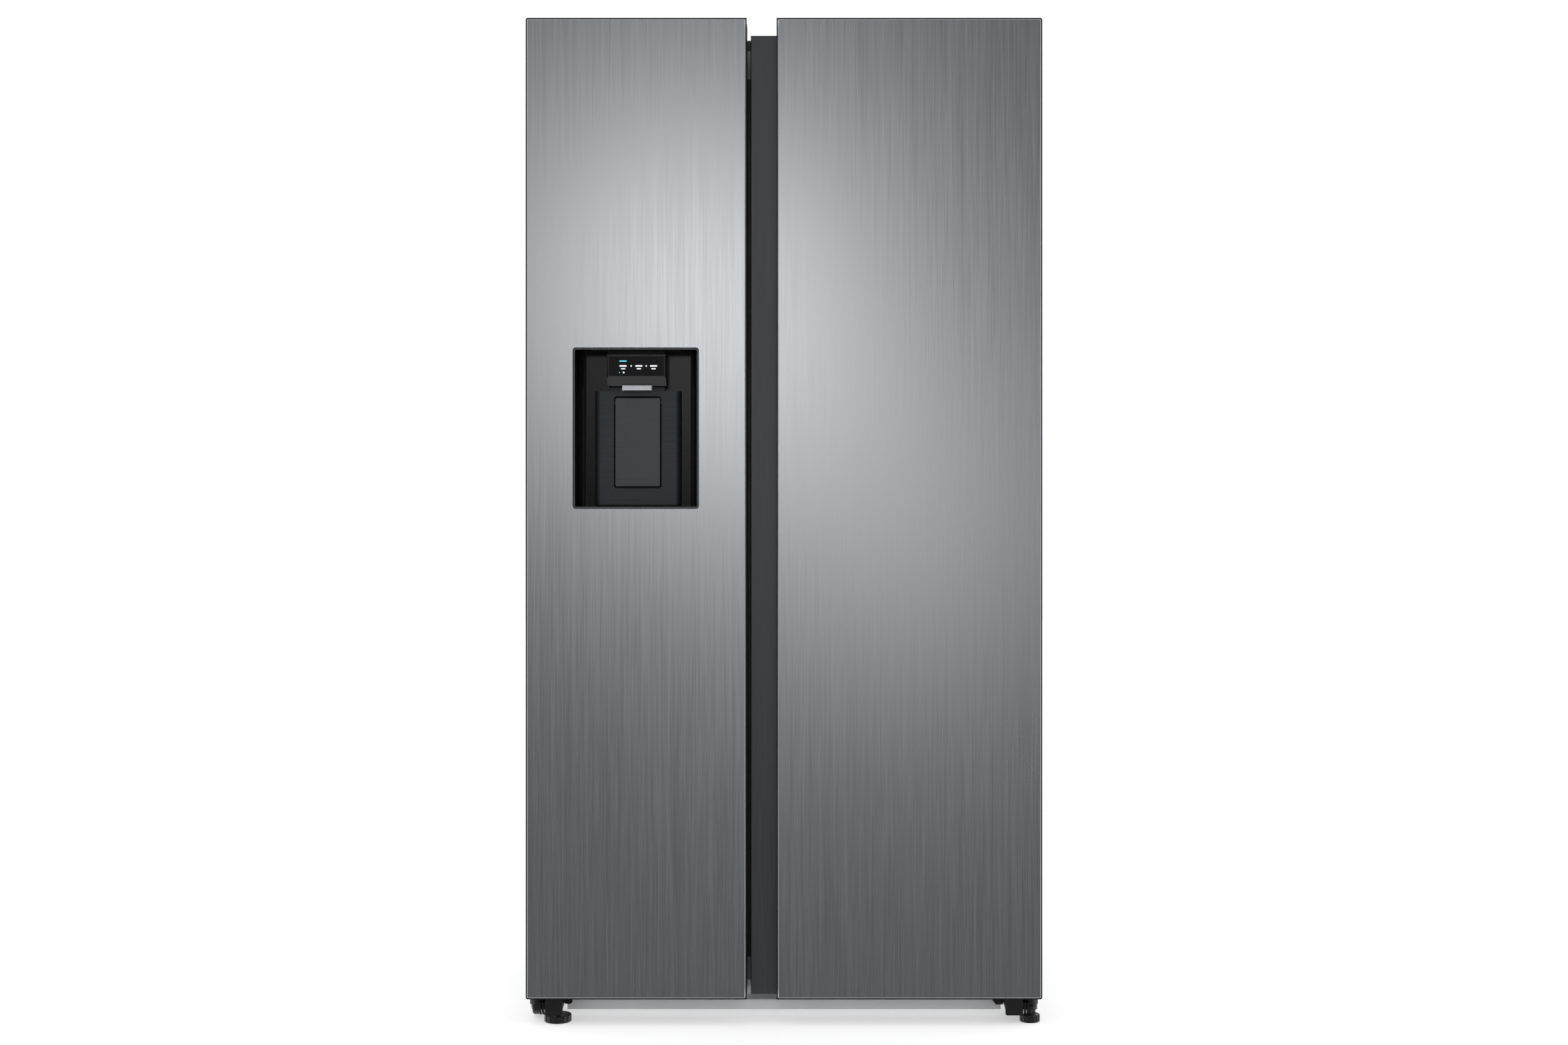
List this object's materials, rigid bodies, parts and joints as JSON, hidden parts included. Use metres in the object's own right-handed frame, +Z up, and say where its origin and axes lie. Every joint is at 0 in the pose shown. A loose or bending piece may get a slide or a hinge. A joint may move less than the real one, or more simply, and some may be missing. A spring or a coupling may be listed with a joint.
{
  "type": "side by side refrigerator",
  "caption": "Side by side refrigerator with two full-height hinged doors, recessed finger grips, a dispenser in the freezer door, shelves and drawers.",
  "frame": {"origin": "on the floor, at the centre of the footprint", "axes": "+Z up, doors face -Y, +X to the right for someone facing the doors"},
  "size_m": [0.912, 0.716, 1.78],
  "materials": {
    "door_steel": "vertically brushed, satin",
    "door_edge": "fine satin",
    "strip_metal": "vertically brushed, dark",
    "case_paint": "satin paint",
    "back_sheet": "galvanised look",
    "post_dark": "satin paint",
    "foam": "rigid foam",
    "liner_white": "smooth moulded",
    "gasket": "soft matt",
    "clear_plastic": "clear moulded",
    "shelf_glass": "toughened glass",
    "trim_silver": "satin silver",
    "bezel_dark": "dark bright edge",
    "recess_black": "gloss black",
    "head_black": "satin black",
    "display_black": "gloss window",
    "paddle_dark": "horizontally brushed, dark",
    "chute_clear": "translucent",
    "ice_grey": "moulded",
    "rail_silver": "satin silver",
    "cover_dark": "fine texture",
    "hinge_steel": "zinc plated",
    "bracket_black": "satin black",
    "foot_black": "moulded",
    "axle_zinc": "zinc plated",
    "compressor_black": "gloss black",
    "coil_metal": "bare fins",
    "machine_metal": "galvanised",
    "tray_black": "moulded",
    "fan_black": "moulded",
    "cover_grey": "satin paint",
    "lamp_white": "frosted",
    "inlet_white": "moulded"
  },
  "bodies": {
    "cabinet": {"cabinet_shell": "case_paint", "back_panel": "back_sheet", "cabinet_foam": "foam", "freezer_liner": "liner_white", "fridge_liner": "liner_white", "centre_post": "post_dark", "base_frame": "machine_metal", "base_rail": "rail_silver", "top_cover": "cover_dark", "top_hinges": "hinge_steel", "bottom_hinge_left": "bracket_black", "bottom_hinge_right": "bracket_black", "compressor": "compressor_black", "condenser": "coil_metal", "fan_shroud": "fan_black", "drain_tray": "tray_black", "machine_cover": "cover_grey", "rear_inlets": "inlet_white", "evaporator": "coil_metal", "freezer_air_panel": "liner_white", "fridge_air_duct": "trim_silver", "glass_shelves": "shelf_glass", "shelf_trims": "trim_silver", "interior_lamps": "lamp_white", "roller_axles": "axle_zinc"},
    "left_door": {"left_door_panel": "door_steel", "left_door_frame": "door_edge", "left_door_core": "foam", "left_door_liner": "liner_white", "left_door_gasket": "gasket", "left_door_bins": "clear_plastic", "dispenser_bezel": "bezel_dark", "dispenser_recess": "recess_black", "dispenser_head": "head_black", "dispenser_display": "display_black", "ice_chute": "chute_clear", "ice_bucket": "clear_plastic", "ice_maker": "ice_grey"},
    "right_door": {"right_door_panel": "door_steel", "right_door_frame": "door_edge", "right_door_core": "foam", "right_door_liner": "liner_white", "right_door_gasket": "gasket", "right_door_bins": "clear_plastic", "handle_strip": "strip_metal"},
    "dispenser_paddle": {"dispenser_paddle": "paddle_dark"},
    "ice_flap": {"ice_flap": "foot_black"},
    "ice_auger": {"ice_auger": "trim_silver"},
    "freezer_drawer_upper": {"freezer_drawer_upper": "clear_plastic"},
    "freezer_drawer_lower": {"freezer_drawer_lower": "clear_plastic"},
    "fridge_drawer_upper": {"fridge_drawer_upper": "clear_plastic"},
    "fridge_drawer_lower": {"fridge_drawer_lower": "clear_plastic"},
    "condenser_fan": {"condenser_fan": "fan_black"},
    "evaporator_fan": {"evaporator_fan": "fan_black"},
    "foot_left": {"foot_left": "foot_black"},
    "foot_right": {"foot_right": "foot_black"},
    "rear_roller_left": {"rear_roller_left": "foot_black"},
    "rear_roller_right": {"rear_roller_right": "foot_black"},
    "front_roller_left": {"front_roller_left": "foot_black"},
    "front_roller_right": {"front_roller_right": "foot_black"}
  },
  "joints": [
    {"name": "left_door_hinge", "type": "hinge", "parent": "cabinet", "child": "left_door", "pos_m": [-0.438, -0.32, 0.9], "axis": [0, 0, -1], "range_deg": [0, 120]},
    {"name": "right_door_hinge", "type": "hinge", "parent": "cabinet", "child": "right_door", "pos_m": [0.438, -0.32, 0.9], "axis": [0, 0, 1], "range_deg": [0, 120]},
    {"name": "paddle_pivot", "type": "hinge", "parent": "left_door", "child": "dispenser_paddle", "pos_m": [-0.2615, -0.3045, 1.104], "axis": [1, 0, 0], "range_deg": [0, 6], "stiffness_Nm_per_rad": 5},
    {"name": "ice_flap_pivot", "type": "hinge", "parent": "left_door", "child": "ice_flap", "pos_m": [-0.2615, -0.271, 1.16], "axis": [1, 0, 0], "range_deg": [0, 50], "stiffness_Nm_per_rad": 0.02},
    {"name": "ice_auger_spin", "type": "hinge", "parent": "left_door", "child": "ice_auger", "pos_m": [-0.2555, -0.209, 1.29], "axis": [1, 0, 0], "continuous": true},
    {"name": "condenser_fan_spin", "type": "hinge", "parent": "cabinet", "child": "condenser_fan", "pos_m": [-0.0355, 0.238, 0.152], "axis": [1, 0, 0], "continuous": true},
    {"name": "evaporator_fan_spin", "type": "hinge", "parent": "cabinet", "child": "evaporator_fan", "pos_m": [-0.2455, 0.2445, 1.08], "axis": [0, 1, 0], "continuous": true},
    {"name": "foot_left_screw", "type": "hinge", "parent": "cabinet", "child": "foot_left", "pos_m": [-0.403, -0.32, 0.006], "axis": [0, 0, 1], "continuous": true},
    {"name": "foot_right_screw", "type": "hinge", "parent": "cabinet", "child": "foot_right", "pos_m": [0.438, -0.32, 0.006], "axis": [0, 0, 1], "continuous": true},
    {"name": "rear_roller_left_spin", "type": "hinge", "parent": "cabinet", "child": "rear_roller_left", "pos_m": [-0.405, 0.3, 0.017], "axis": [1, 0, 0], "continuous": true},
    {"name": "rear_roller_right_spin", "type": "hinge", "parent": "cabinet", "child": "rear_roller_right", "pos_m": [0.405, 0.3, 0.017], "axis": [1, 0, 0], "continuous": true},
    {"name": "front_roller_left_spin", "type": "hinge", "parent": "cabinet", "child": "front_roller_left", "pos_m": [-0.44, -0.284, 0.019], "axis": [1, 0, 0], "continuous": true},
    {"name": "front_roller_right_spin", "type": "hinge", "parent": "cabinet", "child": "front_roller_right", "pos_m": [0.44, -0.284, 0.019], "axis": [1, 0, 0], "continuous": true},
    {"name": "freezer_drawer_upper_slide", "type": "slide", "parent": "cabinet", "child": "freezer_drawer_upper", "axis": [0, -1, 0], "range_m": [0, 0.2096]},
    {"name": "freezer_drawer_lower_slide", "type": "slide", "parent": "cabinet", "child": "freezer_drawer_lower", "axis": [0, -1, 0], "range_m": [0, 0.1258]},
    {"name": "fridge_drawer_upper_slide", "type": "slide", "parent": "cabinet", "child": "fridge_drawer_upper", "axis": [0, -1, 0], "range_m": [0, 0.2096]},
    {"name": "fridge_drawer_lower_slide", "type": "slide", "parent": "cabinet", "child": "fridge_drawer_lower", "axis": [0, -1, 0], "range_m": [0, 0.1258]}
  ],
  "couplings": [
    {"joint": "ice_flap_pivot", "follows": "paddle_pivot", "ratio": 8.3},
    {"joint": "freezer_drawer_upper_slide", "follows": "left_door_hinge", "m_per_rad": 0.1},
    {"joint": "freezer_drawer_lower_slide", "follows": "left_door_hinge", "m_per_rad": 0.06},
    {"joint": "fridge_drawer_upper_slide", "follows": "right_door_hinge", "m_per_rad": 0.1},
    {"joint": "fridge_drawer_lower_slide", "follows": "right_door_hinge", "m_per_rad": 0.06}
  ]
}
